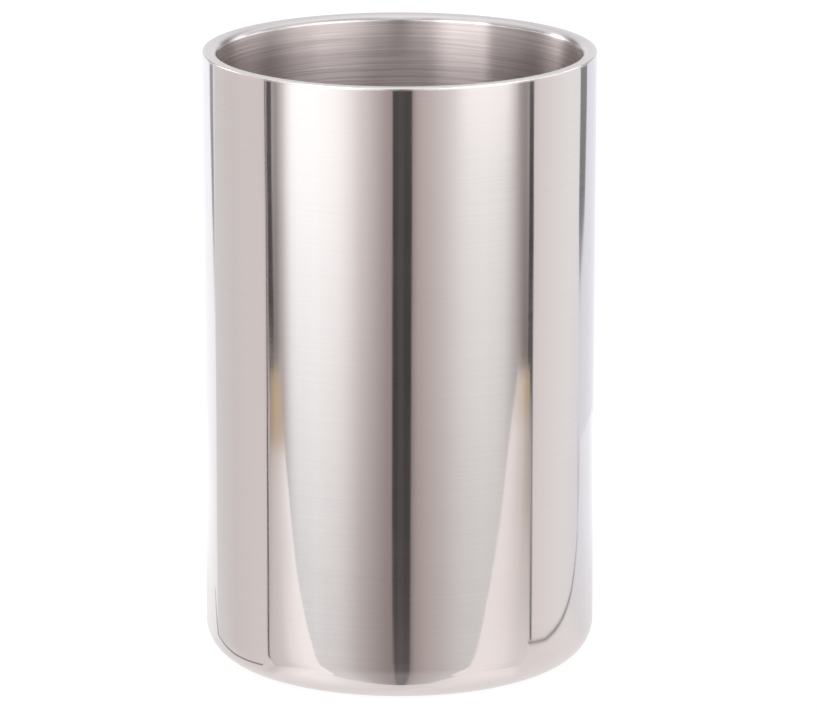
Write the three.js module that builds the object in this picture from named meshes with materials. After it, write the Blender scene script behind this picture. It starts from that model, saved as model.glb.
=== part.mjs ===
// Double-walled stainless steel bottle cooler (champagne bucket).
// Millimetres, +Z up. The origin is the centre of the base, on the table.
// Every piece is pressed or spun from sheet and turned about Z: an outer shell, an inner
// liner with an integral lip, a base plate, and the two seam welds that hold them together.

import * as THREE from 'three';

// Overall size
const OUTER_RADIUS = 60;
const HEIGHT = 190;
const SHEET = 0.6;

// Outer shell
const CORNER_RADIUS = 11;        // outside radius between the wall and the foot
const FOOT_INNER_RADIUS = 44;    // the opening that the base plate closes
const FOOT_FOLD_RADIUS = 1.2;    // fold from the flat foot into the upturned lip
const FOOT_LIP_HEIGHT = 3.4;

// Inner liner
const WELL_RADIUS = 55.5;
const WELL_FLOOR = 9;            // height of the well's floor above the table
const WELL_CORNER_RADIUS = 12;   // inside radius between the well's wall and floor
const LIP_FILLET = 2.2;          // rolled inner edge of the lip
const FLOOR_STEP_RADIUS = 32;    // pressed step that stiffens the floor
const FLOOR_STEP_DEPTH = 0.8;

// Base plate
const PLATE_UNDERSIDE = 3;       // recess above the table
const PLATE_BEND_RADIUS = 1.2;
const PLATE_STEP_RADIUS = 30;
const PLATE_STEP_RISE = 1.2;

// Welds
const SEAM_GAP = 0.05;           // clearance between neighbouring solids at a seam
const RIM_WELD_SIZE = 0.9;
const RIM_EDGE_RADIUS = 0.4;     // the rim weld is ground flush to this outer edge
const BASE_WELD_RADIUS = 0.42;

const SEGMENTS = 72;

const steel = {
  polished: { color: 0xd8d2d1, roughness: 0.12, metalness: 1 },
  satin: { color: 0xb9aeac, roughness: 0.38, metalness: 1 },
  lip: { color: 0xd6d3d5, roughness: 0.3, metalness: 1 },
  pressed: { color: 0xb4b0b0, roughness: 0.45, metalness: 1 },
};

const point = (radius, z) => new THREE.Vector2(radius, z);

// Points on a circular arc in the profile plane. Angles are in degrees from +radius towards +Z.
function arc(radius, z, size, from, to, steps) {
  const points = [];
  for (let i = 0; i <= steps; i += 1) {
    const angle = THREE.MathUtils.degToRad(from + ((to - from) * i) / steps);
    points.push(point(radius + size * Math.cos(angle), z + size * Math.sin(angle)));
  }
  return points;
}

// A named solid of revolution about Z. The profile runs anticlockwise, with radius to the
// right and Z upwards, and either closes on itself or starts and ends on the axis.
function turned(name, profile, finish) {
  const geometry = new THREE.LatheGeometry(profile, SEGMENTS);
  geometry.rotateX(Math.PI / 2);
  const mesh = new THREE.Mesh(geometry, new THREE.MeshStandardMaterial(finish));
  mesh.name = name;
  return mesh;
}

function closed(profile) {
  return [...profile, profile[0].clone()];
}

// Straight wall, rounded bottom corner, flat foot ring and a short lip turned up round the
// base opening. The top edge stops under the rim weld.
function outerShell() {
  const top = HEIGHT - RIM_WELD_SIZE - SEAM_GAP;
  const corner = OUTER_RADIUS - CORNER_RADIUS;
  const fold = FOOT_INNER_RADIUS + FOOT_FOLD_RADIUS;
  return turned('outer_shell', closed([
    ...arc(corner, CORNER_RADIUS, CORNER_RADIUS, -90, 0, 9),
    point(OUTER_RADIUS, top),
    point(OUTER_RADIUS - SHEET, top),
    ...arc(corner, CORNER_RADIUS, CORNER_RADIUS - SHEET, 0, -90, 9),
    ...arc(fold, FOOT_FOLD_RADIUS, FOOT_FOLD_RADIUS - SHEET, -90, -180, 3),
    point(FOOT_INNER_RADIUS + SHEET, FOOT_LIP_HEIGHT),
    point(FOOT_INNER_RADIUS, FOOT_LIP_HEIGHT),
    ...arc(fold, FOOT_FOLD_RADIUS, FOOT_FOLD_RADIUS, 180, 270, 4),
  ]), steel.polished);
}

// Deep-drawn cup that holds the bottle. Its mouth rolls outwards into the flat lip, which
// reaches across the air gap to the rim weld.
function innerLiner() {
  const lipEdge = OUTER_RADIUS - RIM_WELD_SIZE - SEAM_GAP;
  const filletRadius = WELL_RADIUS + LIP_FILLET;
  const filletHeight = HEIGHT - LIP_FILLET;
  const cornerRadius = WELL_RADIUS - WELL_CORNER_RADIUS;
  const cornerHeight = WELL_FLOOR + WELL_CORNER_RADIUS;
  const stepEnd = FLOOR_STEP_RADIUS - FLOOR_STEP_DEPTH;
  return turned('inner_liner', [
    point(0, WELL_FLOOR - FLOOR_STEP_DEPTH - SHEET),
    point(stepEnd, WELL_FLOOR - FLOOR_STEP_DEPTH - SHEET),
    point(FLOOR_STEP_RADIUS, WELL_FLOOR - SHEET),
    ...arc(cornerRadius, cornerHeight, WELL_CORNER_RADIUS + SHEET, -90, 0, 7),
    ...arc(filletRadius, filletHeight, LIP_FILLET - SHEET, 180, 90, 4),
    point(lipEdge, HEIGHT - SHEET),
    point(lipEdge, HEIGHT),
    ...arc(filletRadius, filletHeight, LIP_FILLET, 90, 180, 5),
    ...arc(cornerRadius, cornerHeight, WELL_CORNER_RADIUS, 0, -90, 7),
    point(FLOOR_STEP_RADIUS, WELL_FLOOR),
    point(stepEnd, WELL_FLOOR - FLOOR_STEP_DEPTH),
    point(0, WELL_FLOOR - FLOOR_STEP_DEPTH),
  ], steel.satin);
}

// Bead along the outer top edge, between the liner's lip and the shell's top edge, ground
// flush with both.
function rimWeld() {
  const inner = OUTER_RADIUS - RIM_WELD_SIZE;
  const bottom = HEIGHT - RIM_WELD_SIZE;
  return turned('rim_weld', closed([
    point(inner, bottom),
    point(OUTER_RADIUS, bottom),
    ...arc(OUTER_RADIUS - RIM_EDGE_RADIUS, HEIGHT - RIM_EDGE_RADIUS, RIM_EDGE_RADIUS, 0, 90, 4),
    point(inner, HEIGHT),
  ]), steel.lip);
}

// Shallow pressed pan, standing inside the shell's upturned lip, with a raised centre.
function basePlate() {
  const edge = FOOT_INNER_RADIUS - SEAM_GAP;
  const bend = edge - PLATE_BEND_RADIUS;
  const top = PLATE_UNDERSIDE + SHEET;
  const bendHeight = top - PLATE_BEND_RADIUS;
  const skirtEnd = FOOT_FOLD_RADIUS;
  const stepEnd = PLATE_STEP_RADIUS - PLATE_STEP_RISE;
  return turned('base_plate', [
    point(0, PLATE_UNDERSIDE + PLATE_STEP_RISE),
    point(stepEnd, PLATE_UNDERSIDE + PLATE_STEP_RISE),
    point(PLATE_STEP_RADIUS, PLATE_UNDERSIDE),
    ...arc(bend, bendHeight, PLATE_BEND_RADIUS - SHEET, 90, 0, 3),
    point(edge - SHEET, skirtEnd),
    point(edge, skirtEnd),
    ...arc(bend, bendHeight, PLATE_BEND_RADIUS, 0, 90, 4),
    point(PLATE_STEP_RADIUS, top),
    point(stepEnd, top + PLATE_STEP_RISE),
    point(0, top + PLATE_STEP_RISE),
  ], steel.pressed);
}

// Round bead in the groove between the shell's fold and the edge of the base plate, clear of
// the table.
function baseWeld() {
  const foldCentre = FOOT_INNER_RADIUS + FOOT_FOLD_RADIUS;
  const height = FOOT_FOLD_RADIUS - BASE_WELD_RADIUS - SEAM_GAP;
  const reach = FOOT_FOLD_RADIUS + BASE_WELD_RADIUS + SEAM_GAP;
  const drop = FOOT_FOLD_RADIUS - height;
  const radius = foldCentre - Math.sqrt(reach * reach - drop * drop);
  return turned('base_weld', closed(
    arc(radius, height, BASE_WELD_RADIUS, 0, 315, 7),
  ), steel.pressed);
}

const cooler = new THREE.Group();
cooler.name = 'bottle_cooler';
cooler.add(outerShell(), innerLiner(), rimWeld(), basePlate(), baseWeld());

export default cooler;
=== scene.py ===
# Double-walled stainless steel bottle cooler, in a studio like the photograph's.
# Metres, Z up, in the CAD model's frame: the origin is the centre of the base, on the table.
# Profiles are drawn in millimetres as (radius, height) and turned about Z, as in the CAD model.
# Angles are in degrees. An azimuth is measured round Z from the camera's side (-Y) towards +X.

import math

import bpy
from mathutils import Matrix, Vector


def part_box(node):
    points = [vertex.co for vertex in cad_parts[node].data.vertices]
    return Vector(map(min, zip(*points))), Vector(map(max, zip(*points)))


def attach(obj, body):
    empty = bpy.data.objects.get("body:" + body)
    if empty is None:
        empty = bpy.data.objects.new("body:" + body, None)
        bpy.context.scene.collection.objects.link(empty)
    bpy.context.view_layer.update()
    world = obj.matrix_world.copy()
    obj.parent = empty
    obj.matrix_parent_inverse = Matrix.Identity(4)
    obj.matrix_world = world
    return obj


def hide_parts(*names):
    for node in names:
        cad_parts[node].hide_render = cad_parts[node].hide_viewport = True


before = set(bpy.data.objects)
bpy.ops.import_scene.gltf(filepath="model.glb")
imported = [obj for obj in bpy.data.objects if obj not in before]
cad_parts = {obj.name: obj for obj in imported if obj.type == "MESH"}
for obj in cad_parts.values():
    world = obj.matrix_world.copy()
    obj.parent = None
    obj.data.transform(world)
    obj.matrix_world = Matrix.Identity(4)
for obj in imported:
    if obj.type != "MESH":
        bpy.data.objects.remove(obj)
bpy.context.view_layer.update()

MM = 0.001

# ---------------------------------------------------------------- sizes

# Places that come from the CAD model's boxes
OUTER_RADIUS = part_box("outer_shell")[1].x / MM
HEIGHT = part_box("inner_liner")[1].z / MM
WELD_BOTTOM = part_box("rim_weld")[0].z / MM
PLATE_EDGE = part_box("base_plate")[1].x / MM
PLATE_SKIRT_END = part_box("base_plate")[0].z / MM
PLATE_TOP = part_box("base_plate")[1].z / MM
BEAD_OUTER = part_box("base_weld")[1].x / MM
BEAD_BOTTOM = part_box("base_weld")[0].z / MM
BEAD_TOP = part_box("base_weld")[1].z / MM

# Sizes inside those boxes, the same as in the CAD model
SHEET = 0.6
CORNER_RADIUS = 11
FOOT_INNER_RADIUS = 44
FOOT_FOLD_RADIUS = 1.2
FOOT_LIP_HEIGHT = 3.4
WELL_RADIUS = 55.5
WELL_FLOOR = 9
WELL_CORNER_RADIUS = 12
LIP_FILLET = 2.2
FLOOR_STEP_RADIUS = 32
FLOOR_STEP_DEPTH = 0.8
PLATE_UNDERSIDE = 3
PLATE_BEND_RADIUS = 1.2
PLATE_STEP_RADIUS = 30
PLATE_STEP_RISE = 1.2
RIM_WELD_SIZE = 0.9
RIM_EDGE_RADIUS = 0.4

# Fineness of the meshes
SEGMENTS = 320
BEAD_SEGMENTS = 960
ARC_STEP = 4                          # degrees between the points of an arc
WALL_STEP = 2.5                       # mm between the points up a wall
FLOOR_STEP = 4                        # mm between the points of the well's floor and the plate
EDGE_SUPPORT = 0.3                    # from an edge to the extra point that keeps its shading crisp
LIP_SUPPORT = 0.2                     # the same, on the flat of the lip
CREASE_ANGLE = 35

# The polished wall isn't perfectly true: radial swell in mm, with its waves round and up the wall
SWELLS = (
    # depth, waves round, waves up, phase
    (0.0060, 2, 1.0, 0.4),
    (0.0030, 5, 2.2, 1.9),
    (0.0016, 9, 3.5, 4.1),
    (0.0010, 14, 6.0, 2.6),
)
SWELL_FADE = 0.125                    # share of the wall over which it fades out at either end
OUTSIDE_TOLERANCE = 0.01              # what lies this close to the outer radius is the outside

# The ripples of the base weld, as it was laid on
RIPPLES = (
    # depth, ripples round, phase
    (0.012, 240, 0),
    (0.008, 97, 1),
)

# ---------------------------------------------------------------- camera

CAMERA_ELEVATION = 14.058
CAMERA_DISTANCE = 1.80396             # metres, from the middle of the cooler
CAMERA_LENS = 258.11
CAMERA_SENSOR = 36
CAMERA_SHIFT_X = 0.010875
CAMERA_SHIFT_Y = -0.00611

# ---------------------------------------------------------------- colours

STEEL = (0.83, 0.81, 0.80)
WELL_SHADED_STEEL = (0.785, 0.722, 0.707)    # the spun well, darker and pinker: painted shade
# The lip's colour, paler than the steel's: painted light on the top of the liner
LIP_LIT_STEEL = (0.88, 0.86, 0.86)
FILLET_PAINTED_SHADE = 0.74                 # painted shade on the lip's rolled edge, next to its flat top
HEAT_TINTS = (
    # how the base weld's tint follows the noise
    (0.3, (0.62, 0.60, 0.59)),
    (0.5, (0.66, 0.60, 0.52)),
    (0.7, (0.56, 0.55, 0.56)),
)
BLUE_PER_WARMTH = 1.2                 # how far blue falls short of red, where green does by 1
FLOOR_PAINT = 0.28
FLOOR_GLOW = 0.8
FLOOR_REACH = 9                       # metres

# ---------------------------------------------------------------- reflections

# The polished steel shows hardly anything but the studio, so the levels and places below were set
# to what the photograph shows in it.

# What the polished wall shows round the studio. Each stop is an azimuth, the sRGB level seen there
# high on the wall and low on the wall, how warm it is (the levels by which green falls short of
# red), and where it matters how much blue to add. Levels over 255 are overexposed.
WALL_LEFT = (
    (-180, 236, 253, 2, 4),
    (-150, 240, 242, 3, 4),
    (-140, 244, 228, 4, 4),
    (-138.5, 204, 210, 6),
    (-125, 202, 204, 7),
    (-115, 202, 201, 9),
    (-105, 206, 204, 10),
    (-87, 205, 209, 11),
    (-83.5, 190, 200, 10),
    (-79, 162, 40, 7),
    (-77, 150, 105, 9),
    (-75, 174, 128, 8),
    (-72, 205, 145, 8),
    (-69, 238, 168, 7),
    (-66, 257, 191, 5),
    (-62, 263, 204, 4),
    (-50, 263, 212, 4),
    (-40, 259, 207, 6),
    (-34, 252, 201, 7),
    (-28, 236, 187, 8),
    (-22, 214, 172, 10),
    (-16, 196, 160, 12),
    (-8, 164, 141, 13),
    (0, 146, 130, 14),
)
WALL_RIGHT = (
    (0, 140, 130, 12),
    (7, 140, 138, 12),
    (8.5, 159, 152, 14),
    (10, 173, 158, 14),
    (13, 182, 166, 14),
    (18, 190, 174, 12),
    (24, 201, 181, 10),
    (30, 214, 189, 8),
    (36, 226, 196, 7),
    (42, 233, 199, 6),
    (50, 237, 202, 6),
    (59, 231, 198, 6),
    (63, 226, 191, 6),
    (67, 213, 175, 7),
    (72, 186, 154, 9),
    (75, 160, 143, 10),
    (78, 145, 90, 8),
    (80, 152, 40, 10),
    (85, 203, 212, 8),
    (90, 212, 216, 10),
    (108, 221, 219, 7),
    (120, 225, 217, 6),
    (134, 220, 208, 3, 5),
    (145, 218, 214, 3, 8),
    (155, 221, 224, 3, 8),
    (165, 224, 236, 2, 5),
    (180, 236, 253, 2, 4),
)
WALL_ELEVATIONS = (-16.7, -11.7)      # of the low and the high levels
STEEP_HAZE = 0.12                     # how far the steepest rays pale towards white
STEEP = (-34, -17)                    # elevations over which they do

# Crisp bars: the gap round the camera and the paler camera in it, the dark seams of the panels, a
# dark post on either side, and last a soft light over the right-hand panel. Each has the softness
# of its edges, its warmth, and its course from high on the wall to low on it: elevation, the
# azimuths it lies between, and level. It holds beyond its last points.
BARS = (
    (0.5, 5, (
        (-11.6, -4, 7.2, 75), (-12.6, -4, 7.2, 67), (-14.4, -4.4, 6.7, 64),
        (-16.5, -4.4, 6.3, 68), (-17.2, -3.1, 6, 90),
    )),
    (2.0, 5, (
        (-11.6, -1.2, 2.5, 80), (-16.3, -1.2, 2.2, 75), (-17.2, -1.2, 2.2, 95),
    )),
    (0.3, 7, (
        (-11.6, -85.5, -84.7, 52), (-12.4, -85, -84.2, 66), (-13.8, -84.8, -83.9, 90),
        (-15.2, -85, -83.9, 80), (-16.5, -85.1, -83.8, 40), (-17, -85.1, -83.9, 84),
    )),
    (0.4, 5, (
        (-11.6, -84.1, -80.3, 88), (-12.6, -83.7, -80, 70), (-13.8, -83.3, -79, 64),
        (-14.15, -83, -79.2, 72), (-14.35, -81.4, -81.4, 120),
    )),
    (0.8, 4, (
        (-11.6, -147, -140.4, 150), (-12.6, -144, -140, 150), (-13.7, -139, -139, 180),
    )),
    (0.4, 3, (
        (-11.6, 81.4, 84.7, 88), (-12.6, 81.5, 85.2, 66), (-13.8, 80.9, 85, 44),
        (-14.45, 80.8, 84.8, 40), (-14.6, 84.1, 85.3, 140), (-15.8, 83.6, 85.2, 145),
        (-17, 83.6, 85.1, 88),
    )),
    (0.8, 3, (
        (-11.6, 131.6, 142, 130), (-12.6, 130.5, 139.6, 115), (-13.5, 131.8, 131.8, 180),
        (-14.7, 131, 131, 205), (-15.2, 130.5, 134, 196), (-15.8, 131, 136.5, 198),
        (-16.3, 133, 133, 205),
    )),
    (12, 8, (
        (-11.55, 36, 69, 256), (-11.7, 40, 65, 250), (-11.85, 52, 52, 238),
    )),
)
BAR_ELEVATIONS = (-18, -11)           # that those courses lie between

# Brightness above the horizon, which the well and the lip see. Each stop is an azimuth, and the
# brightness just over the horizon, at the top of the softboxes and over them.
OVERHEAD_LEFT = (
    (-180, 0.84, 0.86, 0.82),
    (-160, 0.84, 0.86, 0.82),
    (-148, 0.3, 0.2, 0.6),
    (-138, 0.8, 0.2, 0.6),
    (-130, 2.6, 1.2, 0.8),
    (-124, 5.6, 3.6, 1.0),
    (-118, 5.6, 2.6, 1.0),
    (-112, 4.4, 0.4, 0.8),
    (-104, 3.2, 0.1, 0.8),
    (-92, 3.0, 0.1, 0.8),
    (-80, 3.7, 0.2, 0.8),
    (-68, 4.1, 0.4, 0.7),
    (-61, 4.1, 0.8, 0.8),
    (-57, 7.2, 5.8, 0.35),
    (-52, 7.1, 6.1, 0.35),
    (-44, 6.6, 5.6, 0.35),
    (-34, 7.7, 6.2, 0.3),
    (-26, 7.4, 3.6, 0.35),
    (-18, 5.0, 1.1, 0.7),
    (-10, 4.0, 0.6, 1.1),
    (-5, 1.1, 0.3, 1.3),
    (0, 0.2, 0.2, 1.3),
)
OVERHEAD_RIGHT = (
    (0, 0.2, 0.2, 1.3),
    (4, 0.5, 0.2, 1.3),
    (9, 3.0, 0.5, 1.1),
    (16, 4.5, 0.9, 0.7),
    (28, 5.9, 3.0, 0.3),
    (40, 6.0, 4.1, 0.3),
    (52, 6.4, 5.0, 0.25),
    (60, 6.0, 2.6, 0.6),
    (70, 7.2, 1.2, 0.8),
    (80, 5.6, 0.3, 0.9),
    (92, 4.6, 0.1, 0.9),
    (104, 4.9, 0.8, 0.9),
    (114, 3.9, 0.4, 0.9),
    (122, 4.6, 1.6, 1.0),
    (128, 3.6, 1.0, 0.9),
    (138, 0.8, 0.2, 0.6),
    (148, 0.3, 0.2, 0.6),
    (160, 0.84, 0.86, 0.82),
    (180, 0.84, 0.86, 0.82),
)
OVERHEAD_ELEVATIONS = (3, 12, 28)     # where those brightnesses hold
OVERHEAD_TINT = (1.0, 0.97, 0.98)
CEILING = 1.0
CEILING_ELEVATION = 60
HORIZON = (0, 3)                      # elevations over which the walls give way to those rows
HEADROOM = 8.0                        # the brightest value that a ramp of the studio holds

# The white sheet under the cooler, as it shows in the polished wall, in mm. A wing runs out on
# either side, between a front edge and an outer line with a seam beside it.
# All of the sheet glows with painted light: the levels below are how bright and how shaded the lit
# sheet shows.
SHEET_DROP = 0.5                      # of its uppermost card, under the floor
CARD_GAP = 0.1                        # between its cards where one covers another
LINE_PIVOT = (40, -44.4)              # where the outer lines start, on either side
LEFT_SLOPE = 0.135                    # how far an outer line comes forward as it runs out
RIGHT_SLOPE = 0.130
LEFT_LEAD = 15                        # how much further out that line's end of a row lies
RIGHT_LEAD = 24
LEFT_FRONT = (
    # x and y of the front edge, how near the foot it is, and how much of the tan board shows there
    (-27, -64, 1, 0), (-45, -76, 1, 0), (-75, -90, 1, 0), (-110, -102, 0.7, 0),
    (-180, -120, 0.1, 0), (-250, -135, 0, 0), (-300, -141, 0, 0.2), (-330, -143, 0, 1),
    (-375, -150, 0, 1), (-425, -163, 0, 1),
)
RIGHT_FRONT = (
    (22, -67, 1, 0), (50, -86, 1, 0), (80, -103, 0.8, 0), (110, -118, 0.6, 0),
    (145, -131, 0.5, 0), (180, -141, 0.35, 0), (220, -150, 0.1, 0), (260, -159, 0, 0),
    (300, -165, 0, 0), (335, -167, 0, 0.1), (360, -167, 0, 0.9), (420, -161, 0, 1),
)
LEFT_ACROSS = (
    # place from the outer line to the front edge, then level, warmth and blue: of the sheet far out,
    # of the sheet near the foot, and of the board
    (0.0, (186, 11, 0), (192, 9, 0), (156, 17, -12)),
    (0.1, (196, 11, 0), (198, 9, 0), (164, 18, -15)),
    (0.3, (204, 11, 0), (206, 10, 0), (176, 20, -20)),
    (0.5, (212, 11, 0), (227, 10, 0), (184, 22, -20)),
    (0.75, (224, 9, 0), (241, 10, 0), (185, 21, -18)),
    (1.0, (239, 8, 0), (245, 10, 0), (185, 19, -11)),
)
RIGHT_ACROSS = (
    (0.0, (172, 11, -3), (212, 10, 0), (158, 17, -12)),
    (0.1, (181, 12, -4), (214, 10, 0), (178, 22, -18)),
    (0.22, (190, 12, -3), (214, 10, 0), (178, 22, -18)),
    (0.35, (204, 12, 0), (220, 10, 0), (188, 19, -14)),
    (0.5, (209, 11, 0), (230, 11, 0), (199, 17, -12)),
    (0.75, (224, 11, 0), (234, 11, 0), (208, 17, -8)),
    (1.0, (229, 10, 0), (232, 10, 0), (216, 13, -3)),
)
RING_START = 40
RING_EVEN = 56                        # the radius out to which the ring has its inside's light
RING_INSIDE = (219, 8, 0)             # level, warmth and blue under the foot
RING_EDGE = (
    # polar angle from the front, radius, level, warmth and blue
    (-180, 320, 250, 2, 0), (-150, 320, 250, 2, 0), (-130, 230, 240, 3, 0), (-115, 120, 232, 5, 1),
    (-100, 88, 230, 5, 1), (-85, 72, 218, 5, 1), (-70, 64, 213, 7, 0), (-52, 64, 213, 10, 0),
    (-47, 67, 204, 11, 0), (-40, 72, 230, 10, 0), (-33, 73, 245, 10, 0), (-25, 69, 241, 9, 0),
    (-15, 64, 226, 8, 0), (0, 61, 211, 8, 0), (10, 62, 220, 8, 0), (20, 69, 232, 10, 0),
    (30, 72, 236, 11, 0), (40, 70, 232, 11, 0), (45, 70, 218, 10, 0), (60, 105, 216, 10, 0),
    (70, 101, 221, 10, 0), (85, 110, 220, 7, 0), (100, 132, 214, 6, 2), (115, 190, 215, 3, 6),
    (125, 310, 222, 3, 6), (140, 320, 230, 1, 3), (150, 320, 242, 1, 3), (180, 320, 250, 2, 0),
)
EDGE_SHADES = (
    # painted shade along the sheet's edges at the sides, as dark lines: polar angles, level, and
    # half width
    ("sheet_left_edge_shade", (-123, -50), 110, 1.6),
    ("sheet_right_edge_shade", (59, 121), 84, 3.0),
)

# ---------------------------------------------------------------- profiles


def arc(radius, height, size, start, end, step=ARC_STEP):
    """Points on a circular arc in the profile's plane, from +radius towards +Z."""
    steps = max(2, math.ceil(abs(end - start) / step))
    points = []
    for i in range(steps + 1):
        angle = math.radians(start + (end - start) * i / steps)
        points.append((radius + size * math.cos(angle), height + size * math.sin(angle)))
    return points


def line(start, end, step):
    """Points between two points of a profile, without its ends."""
    steps = max(2, math.ceil(math.dist(start, end) / step))
    return [
        tuple(a + (b - a) * i / steps for a, b in zip(start, end))
        for i in range(1, steps)
    ]


def pressed_step(start, end, steps=10):
    """A pressed step in a flat floor: a soft S from one level to the next, with its ends."""
    points = []
    for i in range(steps + 1):
        t = i / steps
        height = start[1] + (end[1] - start[1]) * (0.5 - 0.5 * math.cos(math.pi * t))
        points.append((start[0] + (end[0] - start[0]) * t, height))
    return points


def shell_profile():
    corner = OUTER_RADIUS - CORNER_RADIUS
    fold = FOOT_INNER_RADIUS + FOOT_FOLD_RADIUS
    wall_inside = OUTER_RADIUS - SHEET
    return [
        *arc(corner, CORNER_RADIUS, CORNER_RADIUS, -90, 0, step=3),
        *line((OUTER_RADIUS, CORNER_RADIUS), (OUTER_RADIUS, WELD_BOTTOM), WALL_STEP),
        (OUTER_RADIUS, WELD_BOTTOM - EDGE_SUPPORT),
        (OUTER_RADIUS, WELD_BOTTOM),
        (wall_inside, WELD_BOTTOM),
        *arc(corner, CORNER_RADIUS, CORNER_RADIUS - SHEET, 0, -90),
        *arc(fold, FOOT_FOLD_RADIUS, FOOT_FOLD_RADIUS - SHEET, -90, -180, step=10),
        (FOOT_INNER_RADIUS + SHEET, FOOT_LIP_HEIGHT),
        (FOOT_INNER_RADIUS, FOOT_LIP_HEIGHT),
        *arc(fold, FOOT_FOLD_RADIUS, FOOT_FOLD_RADIUS, 180, 270, step=10),
    ]


def liner_profile():
    lip_edge = OUTER_RADIUS - RIM_WELD_SIZE
    fillet = WELL_RADIUS + LIP_FILLET
    corner = WELL_RADIUS - WELL_CORNER_RADIUS
    corner_height = WELL_FLOOR + WELL_CORNER_RADIUS
    step_end = FLOOR_STEP_RADIUS - FLOOR_STEP_DEPTH
    low = WELL_FLOOR - FLOOR_STEP_DEPTH
    wall = ((WELL_RADIUS, HEIGHT - LIP_FILLET), (WELL_RADIUS, corner_height))
    return [
        (0, low - SHEET),
        *pressed_step((step_end, low - SHEET), (FLOOR_STEP_RADIUS, WELL_FLOOR - SHEET)),
        *arc(corner, corner_height, WELL_CORNER_RADIUS + SHEET, -90, 0),
        *arc(fillet, HEIGHT - LIP_FILLET, LIP_FILLET - SHEET, 180, 90, step=10),
        (lip_edge, HEIGHT - SHEET),
        (lip_edge, HEIGHT),
        (fillet + LIP_SUPPORT, HEIGHT),
        *arc(fillet, HEIGHT - LIP_FILLET, LIP_FILLET, 90, 180),
        (WELL_RADIUS, HEIGHT - LIP_FILLET - EDGE_SUPPORT),
        *line(*wall, WALL_STEP),
        *arc(corner, corner_height, WELL_CORNER_RADIUS, 0, -90, step=3),
        *pressed_step((FLOOR_STEP_RADIUS, WELL_FLOOR), (step_end, low)),
        *line((step_end, low), (0, low), FLOOR_STEP),
        (0, low),
    ]


def rim_weld_profile():
    inner = OUTER_RADIUS - RIM_WELD_SIZE
    edge = (OUTER_RADIUS - RIM_EDGE_RADIUS, HEIGHT - RIM_EDGE_RADIUS)
    return [
        (inner, WELD_BOTTOM),
        (OUTER_RADIUS, WELD_BOTTOM),
        *arc(*edge, RIM_EDGE_RADIUS, 0, 90, step=9),
        (inner, HEIGHT),
    ]


def plate_profile():
    bend = PLATE_EDGE - PLATE_BEND_RADIUS
    top = PLATE_UNDERSIDE + SHEET
    bend_height = top - PLATE_BEND_RADIUS
    raised = PLATE_UNDERSIDE + PLATE_STEP_RISE
    step_end = PLATE_STEP_RADIUS - PLATE_STEP_RISE
    return [
        (0, raised),
        *line((0, raised), (step_end, raised), FLOOR_STEP),
        *pressed_step((step_end, raised), (PLATE_STEP_RADIUS, PLATE_UNDERSIDE)),
        *arc(bend, bend_height, PLATE_BEND_RADIUS - SHEET, 90, 0, step=9),
        (PLATE_EDGE - SHEET, PLATE_SKIRT_END),
        (PLATE_EDGE, PLATE_SKIRT_END),
        *arc(bend, bend_height, PLATE_BEND_RADIUS, 0, 90, step=9),
        *pressed_step((PLATE_STEP_RADIUS, top), (step_end, PLATE_TOP)),
        (0, PLATE_TOP),
    ]


def bead_profile():
    size = (BEAD_TOP - BEAD_BOTTOM) / 2
    return arc(BEAD_OUTER - size, BEAD_BOTTOM + size, size, 0, 330, step=30)


# ---------------------------------------------------------------- meshes


def wall_swell(angle, radius, height):
    """How far the polished wall stands off true, in mm, fading out at the rim and the corner."""
    if radius < OUTER_RADIUS - OUTSIDE_TOLERANCE:
        return 0.0
    up = (height - CORNER_RADIUS) / (HEIGHT - CORNER_RADIUS)
    fade = max(0.0, min(1.0, up / SWELL_FADE, (1 - up) / SWELL_FADE))
    swell = 0.0
    for depth, waves_round, waves_up, phase in SWELLS:
        swell += depth * math.sin(waves_round * angle + 2 * math.pi * waves_up * up + phase)
    return swell * fade


def bead_ripple(angle, radius, height):
    """The laid-on ripples of a weld bead, in mm."""
    return sum(depth * math.sin(count * angle + phase) for depth, count, phase in RIPPLES)


def true_form(angle, radius, height):
    """Nothing added to the profile."""
    return 0.0


def lengths_along(profile, is_closed):
    """Distance along the profile at each of its points, in metres."""
    points = [*profile, profile[0]] if is_closed else profile
    lengths = [0.0]
    for a, b in zip(points, points[1:]):
        lengths.append(lengths[-1] + math.dist(a, b) * MM)
    return lengths


def add_object(name, data):
    thing = bpy.data.objects.new(name, data)
    bpy.context.collection.objects.link(thing)
    return thing


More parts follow.
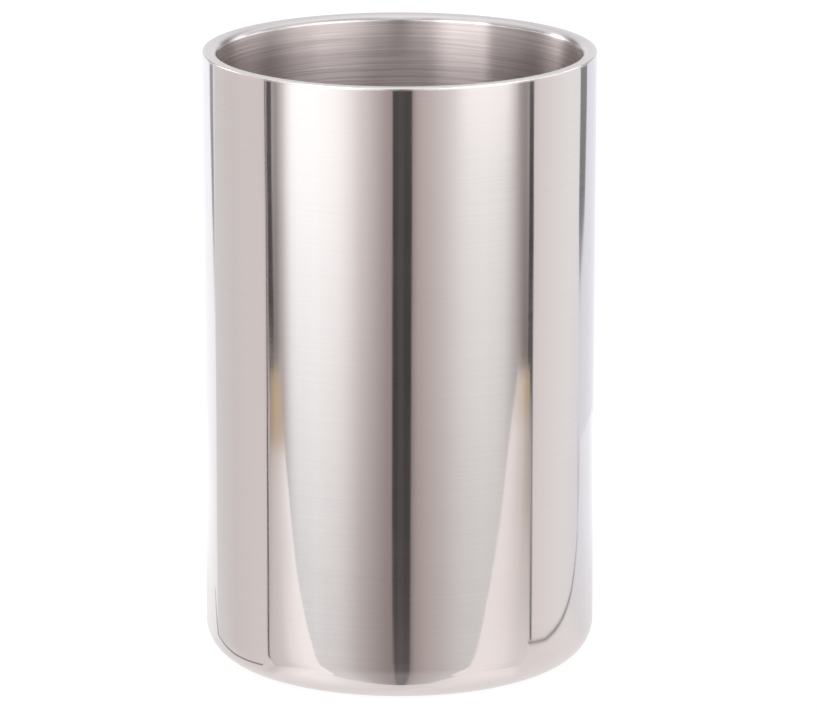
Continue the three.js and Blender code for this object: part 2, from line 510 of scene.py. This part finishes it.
def turn(name, profile, offset=true_form, segments=SEGMENTS):
    """A solid of revolution about Z. A profile that starts on the axis also ends there, and any
    other closes on itself. U is the turn and V the distance along the profile in metres."""
    is_closed = profile[0][0] > 0
    vertices, rings = [], []
    for radius, height in profile:
        if radius == 0:
            rings.append([len(vertices)] * segments)
            vertices.append((0, 0, height * MM))
            continue
        rings.append(list(range(len(vertices), len(vertices) + segments)))
        for j in range(segments):
            angle = 2 * math.pi * j / segments
            r = (radius + offset(angle, radius, height)) * MM
            vertices.append((r * math.cos(angle), r * math.sin(angle), height * MM))
    lengths = lengths_along(profile, is_closed)
    faces, uvs = [], []
    for i in range(len(profile) if is_closed else len(profile) - 1):
        low, high = rings[i], rings[(i + 1) % len(rings)]
        for j in range(segments):
            k = (j + 1) % segments
            corners = [
                (low[j], j, lengths[i]),
                (low[k], j + 1, lengths[i]),
                (high[k], j + 1, lengths[i + 1]),
                (high[j], j, lengths[i + 1]),
            ]
            if low[j] == low[k]:
                corners.pop(1)
            if high[j] == high[k]:
                corners.pop(2 if len(corners) == 4 else 1)
            faces.append([corner[0] for corner in corners])
            uvs += [(corner[1] / segments, corner[2]) for corner in corners]
    mesh = bpy.data.meshes.new(name)
    mesh.from_pydata(vertices, [], faces)
    layer = mesh.uv_layers.new(name="profile")
    for loop, uv in enumerate(uvs):
        layer.data[loop].uv = uv
    mesh.shade_smooth()
    mesh.set_sharp_from_angle(angle=math.radians(CREASE_ANGLE))
    mesh.update()
    return add_object(name, mesh)


# ---------------------------------------------------------------- nodes


def put(socket, value):
    """Link an output into the socket, or set a value on it."""
    if isinstance(value, bpy.types.NodeSocket):
        socket.id_data.links.new(value, socket)
    else:
        socket.default_value = value


def cleared_tree(owner):
    """The node tree of a material or a world, with nothing in it yet."""
    owner.use_nodes = True
    owner.node_tree.nodes.clear()
    return owner.node_tree


def surface(tree, shader, output="ShaderNodeOutputMaterial"):
    """Make the shader the one that the tree puts out."""
    put(tree.nodes.new(output).inputs["Surface"], shader)


def math_node(tree, operation, *values):
    node = tree.nodes.new("ShaderNodeMath")
    node.operation = operation
    for socket, value in zip(node.inputs, values):
        put(socket, value)
    return node.outputs[0]


def step_node(tree, value, start, end):
    """0 before start, 1 after end, and smooth between them."""
    node = tree.nodes.new("ShaderNodeMapRange")
    node.interpolation_type = "SMOOTHSTEP"
    put(node.inputs["Value"], value)
    put(node.inputs["From Min"], start)
    put(node.inputs["From Max"], end)
    return node.outputs["Result"]


def range_node(tree, value, source, target):
    """Map one range on to another, held at its ends."""
    node = tree.nodes.new("ShaderNodeMapRange")
    put(node.inputs["Value"], value)
    put(node.inputs["From Min"], source[0])
    put(node.inputs["From Max"], source[1])
    put(node.inputs["To Min"], target[0])
    put(node.inputs["To Max"], target[1])
    return node.outputs["Result"]


def mix_node(tree, factor, a, b, blend="MIX"):
    node = tree.nodes.new("ShaderNodeMix")
    node.data_type = "RGBA"
    node.blend_type = blend
    put(node.inputs["Factor"], factor)
    put(node.inputs[6], a)
    put(node.inputs[7], b)
    return node.outputs[2]


def ramp_node(tree, value, ends, stops):
    """A colour ramp over the range `ends`. Each stop is a place in that range and a colour."""
    node = tree.nodes.new("ShaderNodeValToRGB")
    elements = node.color_ramp.elements
    while len(elements) > 1:
        elements.remove(elements[-1])
    for i, (place, colour) in enumerate(stops):
        position = (place - ends[0]) / (ends[1] - ends[0])
        element = elements[0] if i == 0 else elements.new(position)
        element.position = position
        element.color = (*colour, 1)
    put(node.inputs[0], range_node(tree, value, ends, (0, 1)))
    return node.outputs[0]


def linear(level):
    """Linear light of an sRGB level, where 255 is white."""
    return ((level / 255 + 0.055) / 1.055) ** 2.4


def shown_in_steel(level, warmth, blue=0):
    """The light that steel shows as this level, with less green and blue as it gets warmer."""
    levels = (level, level - warmth, level - BLUE_PER_WARMTH * warmth + blue)
    return tuple(linear(part) / metal for part, metal in zip(levels, STEEL))


def in_ramp(light):
    """A light as the studio's ramps hold it, scaled to their headroom."""
    return tuple(part / HEADROOM for part in light)


# ---------------------------------------------------------------- studio


def direction_angles(tree):
    """Azimuth and elevation, in degrees, of the direction that the world is seen in."""
    place = tree.nodes.new("ShaderNodeTexCoord").outputs["Generated"]
    parts = tree.nodes.new("ShaderNodeSeparateXYZ")
    put(parts.inputs[0], place)
    x, y, z = parts.outputs
    turn_angle = math_node(tree, "ARCTAN2", x, math_node(tree, "MULTIPLY", y, -1))
    rise = math_node(tree, "ARCSINE", z)
    return (
        math_node(tree, "DEGREES", turn_angle),
        math_node(tree, "DEGREES", rise),
    )


def both_halves(tree, azimuth, left, right):
    """One ramp for the left half of the studio and one for the right."""
    left_colour = ramp_node(tree, azimuth, (-180, 0), left)
    right_colour = ramp_node(tree, azimuth, (0, 180), right)
    is_right = math_node(tree, "GREATER_THAN", azimuth, 0)
    return mix_node(tree, is_right, left_colour, right_colour)


def wall_stops(stops, is_low):
    """A wall's ramp, of its low or its high levels."""
    return [
        (place, in_ramp(shown_in_steel(low if is_low else high, *tone)))
        for place, high, low, *tone in stops
    ]


def wall_light(tree, azimuth, elevation):
    """The panels round the cooler at and below eye level, as the polished wall shows them."""
    rows = [
        both_halves(tree, azimuth, wall_stops(WALL_LEFT, is_low), wall_stops(WALL_RIGHT, is_low))
        for is_low in (True, False)
    ]
    height = range_node(tree, elevation, WALL_ELEVATIONS, (0, 1))
    return mix_node(tree, height, *rows)


def course_node(tree, elevation, points):
    """The two azimuths and the brightness of a bar at this elevation, along its course. The ramp
    holds an azimuth as a share of the full turn from -180 to 180."""
    stops = [
        (height, (start / 360 + 0.5, end / 360 + 0.5, linear(level) / HEADROOM))
        for height, start, end, level in sorted(points)
    ]
    parts = tree.nodes.new("ShaderNodeSeparateColor")
    put(parts.inputs[0], ramp_node(tree, elevation, BAR_ELEVATIONS, stops))
    start, end = (
        math_node(tree, "MULTIPLY_ADD", part, 360, -180) for part in parts.outputs[:2]
    )
    return start, end, parts.outputs[2]


def bar_mask(tree, value, start, end, softness):
    """1 between start and end, and 0 outside them."""
    half = softness / 2
    rises = step_node(
        tree, value, math_node(tree, "SUBTRACT", start, half), math_node(tree, "ADD", start, half),
    )
    falls = step_node(
        tree, value, math_node(tree, "SUBTRACT", end, half), math_node(tree, "ADD", end, half),
    )
    return math_node(tree, "MAXIMUM", math_node(tree, "SUBTRACT", rises, falls), 0.0)


def with_bars(tree, colour, azimuth, elevation):
    """The walls with the crisp bars over them."""
    for softness, warmth, points in BARS:
        start, end, brightness = course_node(tree, elevation, points)
        level = points[0][3]
        tint = [part / linear(level) for part in shown_in_steel(level, warmth)]
        bar = mix_node(tree, 1.0, (*tint, 1), brightness, "MULTIPLY")
        mask = bar_mask(tree, azimuth, start, end, softness)
        colour = mix_node(tree, mask, colour, bar)
    return colour


def with_haze(tree, colour, elevation):
    """The walls, paled where steep rays meet the table close by."""
    haze = range_node(tree, elevation, STEEP, (STEEP_HAZE, 0))
    return mix_node(tree, haze, colour, (*in_ramp((1, 1, 1)), 1))


def overhead_stops(stops, row):
    """A ramp of one row of the light over the horizon."""
    return [
        (place, in_ramp(part * rows[row] for part in OVERHEAD_TINT)) for place, *rows in stops
    ]


def overhead_light(tree, azimuth, elevation):
    """Softboxes above the horizon, and the pale ceiling over them."""
    rows = [
        both_halves(
            tree, azimuth, overhead_stops(OVERHEAD_LEFT, row), overhead_stops(OVERHEAD_RIGHT, row),
        )
        for row in range(len(OVERHEAD_ELEVATIONS))
    ]
    rows.append((*in_ramp(part * CEILING for part in OVERHEAD_TINT), 1))
    elevations = (*OVERHEAD_ELEVATIONS, CEILING_ELEVATION)
    light = rows[0]
    for i in range(1, len(rows)):
        height = range_node(tree, elevation, elevations[i - 1:i + 1], (0, 1))
        light = mix_node(tree, height, light, rows[i])
    return light


def make_world():
    """The studio, for the steel and the floor. The camera itself sees plain white behind."""
    world = bpy.data.worlds.new("studio")
    bpy.context.scene.world = world
    tree = cleared_tree(world)
    azimuth, elevation = direction_angles(tree)
    walls = wall_light(tree, azimuth, elevation)
    walls = with_bars(tree, walls, azimuth, elevation)
    walls = with_haze(tree, walls, elevation)
    above = step_node(tree, elevation, *HORIZON)
    light = mix_node(tree, above, walls, overhead_light(tree, azimuth, elevation))
    studio = tree.nodes.new("ShaderNodeBackground")
    put(studio.inputs["Color"], light)
    studio.inputs["Strength"].default_value = HEADROOM
    backdrop = tree.nodes.new("ShaderNodeBackground")
    backdrop.inputs["Color"].default_value = (1, 1, 1, 1)
    choice = tree.nodes.new("ShaderNodeMixShader")
    put(choice.inputs[0], tree.nodes.new("ShaderNodeLightPath").outputs["Is Camera Ray"])
    put(choice.inputs[1], studio.outputs[0])
    put(choice.inputs[2], backdrop.outputs[0])
    surface(tree, choice.outputs[0], "ShaderNodeOutputWorld")


def make_floor():
    """A pale floor that takes a faint contact shadow. The steel sees the studio instead of it."""
    reach = FLOOR_REACH
    corners = [(-reach, -reach, 0), (reach, -reach, 0), (reach, reach, 0), (-reach, reach, 0)]
    mesh = bpy.data.meshes.new("floor")
    mesh.from_pydata(corners, [], [(0, 1, 2, 3)])
    floor = add_object("floor", mesh)
    material = bpy.data.materials.new("floor_white")
    tree = cleared_tree(material)
    paint = tree.nodes.new("ShaderNodeBsdfDiffuse")
    paint.inputs["Color"].default_value = (FLOOR_PAINT, FLOOR_PAINT, FLOOR_PAINT, 1)
    glow = tree.nodes.new("ShaderNodeEmission")
    glow.inputs["Strength"].default_value = FLOOR_GLOW
    both = tree.nodes.new("ShaderNodeAddShader")
    put(both.inputs[0], paint.outputs[0])
    put(both.inputs[1], glow.outputs[0])
    surface(tree, both.outputs[0])
    mesh.materials.append(material)
    floor.visible_glossy = False
    floor.visible_diffuse = False
    floor.visible_shadow = False


def sheet_light_material():
    """Painted light: a glow as bright as white paper under soft light, in the colours painted on its
    corners.
    """
    material = bpy.data.materials.new("sheet_painted_light")
    tree = cleared_tree(material)
    paint = tree.nodes.new("ShaderNodeAttribute")
    paint.attribute_name = "light"
    glow = tree.nodes.new("ShaderNodeEmission")
    put(glow.inputs["Color"], paint.outputs["Color"])
    surface(tree, glow.outputs[0])
    return material


def card(name, rows, drop, material):
    """A flat card seen only by the steel, from rows of (x, y, light), `drop` mm under the floor."""
    width = len(rows[0])
    corners = [(x * MM, y * MM, -drop * MM) for row in rows for x, y, light in row]
    faces = [
        (i * width + j, i * width + j + 1, (i + 1) * width + j + 1, (i + 1) * width + j)
        for i in range(len(rows) - 1)
        for j in range(width - 1)
    ]
    mesh = bpy.data.meshes.new(name)
    mesh.from_pydata(corners, [], faces)
    paint = mesh.color_attributes.new("light", "FLOAT_COLOR", "POINT")
    lights = [light for row in rows for x, y, light in row]
    for corner, light in zip(paint.data, lights):
        corner.color = (*light, 1)
    mesh.materials.append(material)
    flat = add_object(name, mesh)
    flat.visible_camera = False
    flat.visible_diffuse = False
    flat.visible_transmission = False


def mixed(a, b, share):
    """That share of the way from a to b, number by number."""
    return tuple(x + (y - x) * share for x, y in zip(a, b))


def wing_rows(front, across, slope, lead):
    """Rows of a wing of the sheet, each from its outer line to its front edge."""
    rows = []
    for x, y, near, board in front:
        outer_x = x + math.copysign(lead, x)
        outer_y = LINE_PIVOT[1] - slope * (abs(outer_x) - LINE_PIVOT[0])
        row = []
        for place, far_light, near_light, board_light in across:
            light = mixed(shown_in_steel(*far_light), shown_in_steel(*near_light), near)
            light = mixed(light, shown_in_steel(*board_light), board)
            row.append((*mixed((outer_x, outer_y), (x, y), place), light))
        rows.append(row)
    return rows


def on_table(polar, radius):
    """The x and y of a polar place, with its angle from the front."""
    angle = math.radians(polar)
    return (radius * math.sin(angle), -radius * math.cos(angle))


def ring_rows():
    """Rows of the part of the sheet round the foot, from under it to its edge."""
    inside = shown_in_steel(*RING_INSIDE)
    rows = []
    for polar, radius, *tone in RING_EDGE:
        edge = shown_in_steel(*tone)
        half_way = (RING_EVEN + radius) / 2
        places = ((RING_START, inside), (RING_EVEN, inside), (half_way, edge), (radius, edge))
        rows.append([(*on_table(polar, r), light) for r, light in places])
    return rows


def edge_shade_rows(span, level, half_width):
    """Rows of the dark line of painted shade along an edge of the sheet."""
    rows = []
    for polar, radius, *tone in RING_EDGE:
        if span[0] < polar < span[1]:
            pale = shown_in_steel(*tone)
            dark = shown_in_steel(level, tone[1])
            places = ((-half_width, pale), (0, dark), (half_width, pale))
            rows.append([(*on_table(polar, radius + r), light) for r, light in places])
    return rows


def make_sheet():
    """The white sheet on the table, which only the steel sees, as cards that glow with its painted
    light and shade.
    """
    material = sheet_light_material()
    for name, span, level, half_width in EDGE_SHADES:
        card(name, edge_shade_rows(span, level, half_width), SHEET_DROP, material)
    card("sheet_ring", ring_rows(), SHEET_DROP + CARD_GAP, material)
    left = wing_rows(LEFT_FRONT, LEFT_ACROSS, LEFT_SLOPE, LEFT_LEAD)
    right = wing_rows(RIGHT_FRONT, RIGHT_ACROSS, RIGHT_SLOPE, RIGHT_LEAD)
    card("sheet_left_wing", left, SHEET_DROP + 2 * CARD_GAP, material)
    card("sheet_right_wing", right, SHEET_DROP + 2 * CARD_GAP, material)


def make_camera():
    data = bpy.data.cameras.new("camera")
    data.lens = CAMERA_LENS
    data.sensor_width = CAMERA_SENSOR
    data.shift_x = CAMERA_SHIFT_X
    data.shift_y = CAMERA_SHIFT_Y
    camera = add_object("camera", data)
    tilt = math.radians(CAMERA_ELEVATION)
    target = Vector((0, 0, HEIGHT / 2 * MM))
    camera.location = target + CAMERA_DISTANCE * Vector((0, -math.cos(tilt), math.sin(tilt)))
    camera.rotation_euler = (math.pi / 2 - tilt, 0, 0)
    bpy.context.scene.camera = camera


# ---------------------------------------------------------------- steel

# How the marks of the spun liner, and the well's painted shade, give way to its lip, in mm below its
# top
LIP_BLEND = (2.1, 1.7)
FILLET_SHADE_BLEND = (1.5, 0.7)             # from the painted shade on the rolled edge to the flat top's steel
LIP_MARKS = 0.3                       # how strong the marks are on the lip, next to the well's
LIP_SMOOTHER = 0.11                   # how much less rough the lip is
FINE_MARKS = 0.9                      # how strong the fine marks are, next to the coarse ones
RUNS_ROUND = 0.25                     # the anisotropic rotation of marks that run round the axis


class Steel:
    """A steel material whose brush marks run round the axis. Its roughness varies round the one
    given here."""

    def __init__(self, name, roughness, anisotropy):
        self.material = bpy.data.materials.new(name)
        self.tree = cleared_tree(self.material)
        self.shader = self.tree.nodes.new("ShaderNodeBsdfPrincipled")
        self.shader.inputs["Metallic"].default_value = 1.0
        self.shader.inputs["Base Color"].default_value = (*STEEL, 1)
        self.shader.inputs["Roughness"].default_value = roughness
        self.shader.inputs["Anisotropic"].default_value = anisotropy
        self.shader.inputs["Anisotropic Rotation"].default_value = RUNS_ROUND
        tangent = self.tree.nodes.new("ShaderNodeTangent")
        tangent.direction_type = "RADIAL"
        tangent.axis = "Z"
        put(self.shader.inputs["Tangent"], tangent.outputs[0])
        surface(self.tree, self.shader.outputs[0])
        parts = self.tree.nodes.new("ShaderNodeSeparateXYZ")
        put(parts.inputs[0], self.tree.nodes.new("ShaderNodeTexCoord").outputs["Object"])
        self.x, self.y, self.z = parts.outputs
        uv = self.tree.nodes.new("ShaderNodeUVMap")
        uv.uv_map = "profile"
        parts = self.tree.nodes.new("ShaderNodeSeparateXYZ")
        put(parts.inputs[0], uv.outputs[0])
        self.along = parts.outputs[1]

    def noise(self, run, width, detail=2.0, along=None):
        """Noise drawn out round the axis: `run` long and `width` wide across, in metres."""
        vector = self.tree.nodes.new("ShaderNodeCombineXYZ")
        put(vector.inputs[0], math_node(self.tree, "DIVIDE", self.x, run))
        put(vector.inputs[1], math_node(self.tree, "DIVIDE", self.y, run))
        along = self.along if along is None else along
        put(vector.inputs[2], math_node(self.tree, "DIVIDE", along, width))
        node = self.tree.nodes.new("ShaderNodeTexNoise")
        node.inputs["Scale"].default_value = 1.0
        node.inputs["Detail"].default_value = detail
        put(node.inputs["Vector"], vector.outputs[0])
        return node.outputs[0]

    def wavering(self, run, width, depth):
        """Distance along the profile, wavering by `depth` metres as hand polishing does."""
        wave = math_node(self.tree, "SUBTRACT", self.noise(run, width), 0.5)
        return math_node(self.tree, "MULTIPLY_ADD", wave, depth, self.along)

    def bump(self, height, depth):
        node = self.tree.nodes.new("ShaderNodeBump")
        node.inputs["Distance"].default_value = depth
        put(node.inputs["Height"], height)
        return node.outputs[0]

    def finish(self, roughness, colour, normal):
        put(self.shader.inputs["Roughness"], roughness)
        put(self.shader.inputs["Base Color"], colour)
        put(self.shader.inputs["Normal"], normal)
        return self.material


def shade(steel, value, darkest, metal=(*STEEL, 1), palest=1.0):
    """The metal's colour, times a grey that rises with the value."""
    grey = range_node(steel.tree, value, (0.25, 0.75), (darkest, palest))
    return mix_node(steel.tree, 1.0, metal, grey, "MULTIPLY")


def polished_steel():
    """Mirror-polished wall: faint hairlines round it, and a trace of wiping marks."""
    steel = Steel("polished_steel", roughness=0.06, anisotropy=0.55)
    path = steel.wavering(run=0.06, width=0.05, depth=0.002)
    hairs = steel.noise(run=0.05, width=0.00025, detail=3.0, along=path)
    smears = steel.noise(run=0.02, width=0.03, detail=3.0)
    scratched = range_node(steel.tree, hairs, (0.3, 0.75), (0.045, 0.075))
    wiped = range_node(steel.tree, smears, (0.4, 0.7), (0.0, 0.025))
    rough = math_node(steel.tree, "ADD", scratched, wiped)
    return steel.finish(rough, shade(steel, hairs, 0.962), steel.bump(hairs, 3e-7))


def spun_steel():
    """The liner: spinning marks in the well, and a finer satin on the lip. The well's colour is
    darker with painted shade, and the lip's paler with painted light.
    """
    steel = Steel("spun_steel", roughness=0.32, anisotropy=1.0)
    path = steel.wavering(run=0.04, width=0.012, depth=0.0012)
    coarse = steel.noise(run=0.060, width=0.0008, along=path)
    fine = steel.noise(run=0.035, width=0.0003, along=path)
    on_lip = step_node(steel.tree, steel.z, *((HEIGHT - below) * MM for below in LIP_BLEND))

    # The sum of both noises centred on zero, made fainter on the lip, and centred on a half
    marks = math_node(steel.tree, "MULTIPLY_ADD", fine, FINE_MARKS, coarse)
    marks = math_node(steel.tree, "SUBTRACT", marks, 0.5 + 0.5 * FINE_MARKS)
    strength = math_node(steel.tree, "MULTIPLY_ADD", on_lip, LIP_MARKS - 1, 1.0)
    marks = math_node(steel.tree, "MULTIPLY_ADD", marks, strength, 0.5)

    spun = range_node(steel.tree, coarse, (0.3, 0.7), (0.29, 0.35))
    rough = math_node(steel.tree, "MULTIPLY_ADD", on_lip, -LIP_SMOOTHER, spun)
    # Painted shade on the lip's rolled edge, darkest next to the well
    fillet = [(HEIGHT - below) * MM for below in FILLET_SHADE_BLEND]
    fillet_shade = range_node(steel.tree, steel.z, fillet, (FILLET_PAINTED_SHADE, 1.0))
    lip = mix_node(steel.tree, 1.0, (*LIP_LIT_STEEL, 1), fillet_shade, "MULTIPLY")
    # Painted shade in the well, giving way to the lip's painted light
    metal = mix_node(steel.tree, on_lip, (*WELL_SHADED_STEEL, 1), lip)
    return steel.finish(rough, shade(steel, marks, 0.71, metal), steel.bump(marks, 1e-5))


def satin_steel():
    """The rim weld, ground flush and brushed round with the lip."""
    steel = Steel("satin_steel", roughness=0.22, anisotropy=0.6)
    path = steel.wavering(run=0.02, width=0.002, depth=0.0003)
    brush = steel.noise(run=0.02, width=0.00015, detail=3.0, along=path)
    rough = range_node(steel.tree, brush, (0.3, 0.7), (0.19, 0.26))
    return steel.finish(rough, shade(steel, brush, 0.96), steel.bump(brush, 6e-7))


def pressed_steel():
    """The base plate as it left the press: mill finish with handling scuffs."""
    steel = Steel("pressed_steel", roughness=0.42, anisotropy=0.3)
    grain = steel.noise(run=0.0012, width=0.0004, detail=4.0)
    scuffs = steel.noise(run=0.006, width=0.009, detail=4.0)
    rough = range_node(steel.tree, scuffs, (0.3, 0.7), (0.34, 0.5))
    colour = shade(steel, grain, 0.86, palest=0.98)
    return steel.finish(rough, colour, steel.bump(grain, 4e-6))


def bead_steel():
    """The base weld, left as laid, with a straw tint from the heat."""
    steel = Steel("bead_steel", roughness=0.38, anisotropy=0.0)
    heat = steel.noise(run=0.004, width=0.0015, detail=3.0)
    colour = ramp_node(steel.tree, heat, (0, 1), HEAT_TINTS)
    rough = range_node(steel.tree, heat, (0.3, 0.7), (0.3, 0.48))
    pits = steel.noise(run=0.0006, width=0.0004)
    return steel.finish(rough, colour, steel.bump(pits, 1.2e-5))


# ---------------------------------------------------------------- pieces


def add_piece(name, node, slot, profile, material, offset=true_form, segments=SEGMENTS):
    """A turned piece in place of the CAD node."""
    piece = turn(name, profile, offset, segments)
    piece.data.materials.append(material)
    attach(piece, "root")
    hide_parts(node)


def make_cooler():
    wall = (shell_profile(), polished_steel(), wall_swell)
    add_piece("shell", "outer_shell", "polished_steel", *wall)
    add_piece("liner", "inner_liner", "brushed_steel", liner_profile(), spun_steel())
    add_piece("rim_seam", "rim_weld", "lip_steel", rim_weld_profile(), satin_steel())
    add_piece("base", "base_plate", "pressed_steel", plate_profile(), pressed_steel())
    bead = (bead_profile(), bead_steel(), bead_ripple, BEAD_SEGMENTS)
    add_piece("base_bead", "base_weld", "weld_steel", *bead)


make_camera()
make_world()
make_floor()
make_sheet()
make_cooler()
bpy.context.scene.view_settings.view_transform = "Standard"
